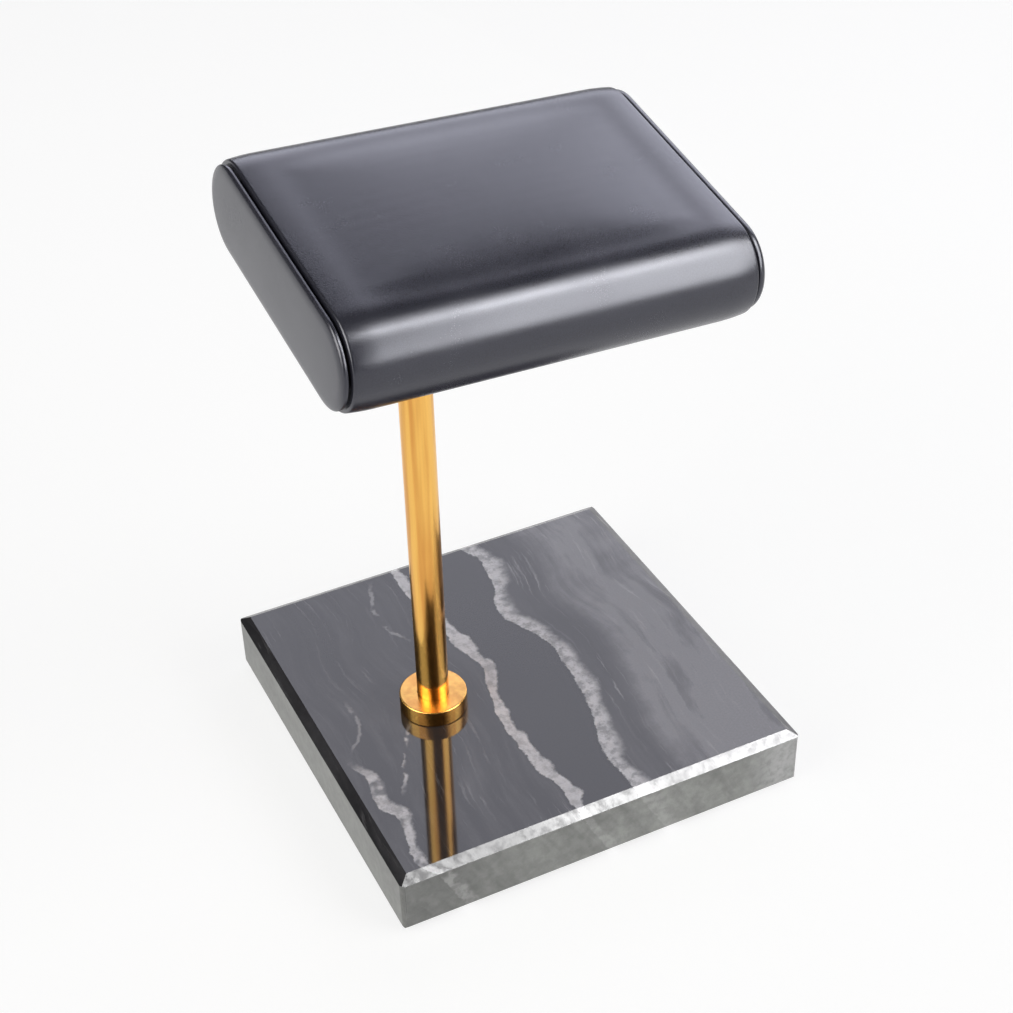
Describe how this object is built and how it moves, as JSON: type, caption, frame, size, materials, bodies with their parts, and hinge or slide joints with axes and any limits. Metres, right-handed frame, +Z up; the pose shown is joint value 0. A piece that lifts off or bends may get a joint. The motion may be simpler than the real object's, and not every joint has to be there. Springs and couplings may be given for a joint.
{
  "type": "watch stand",
  "caption": "Watch display stand: a square marble base, a slim gold post and a leather-covered wrist pillow that leans forward and is open at one side for a closed bracelet.",
  "frame": {"origin": "centre of the slab's outline, on the surface that the feet stand on", "axes": "+X to the right along the front edge, towards the pillow's free end; +Y to the back; +Z up"},
  "size_m": [0.1002, 0.1, 0.152],
  "materials": {
    "marble": "polished dark grey marble with pale veins",
    "foot_foam": "matt, stick-on",
    "screw_steel": "zinc plated",
    "gold_plate": "polished gold",
    "core_board": "raw fibreboard",
    "insert_brass": "plain, threaded",
    "pillow_foam": "soft foam",
    "leather": "smooth satin, near black",
    "end_board": "stiff board"
  },
  "bodies": {
    "root": {"base_slab": "marble", "foot_front_left": "foot_foam", "foot_front_right": "foot_foam", "foot_back_left": "foot_foam", "foot_back_right": "foot_foam", "base_screw": "screw_steel", "flat_washer": "screw_steel", "lock_washer": "screw_steel", "post_collar": "gold_plate", "post": "gold_plate", "pad_core": "core_board", "threaded_insert": "insert_brass", "pad_foam": "pillow_foam", "pad_cover": "leather", "left_end_board": "end_board", "left_end_foam": "pillow_foam", "left_end_cover": "leather", "right_end_board": "end_board", "right_end_foam": "pillow_foam", "right_end_cover": "leather"}
  },
  "joints": []
}
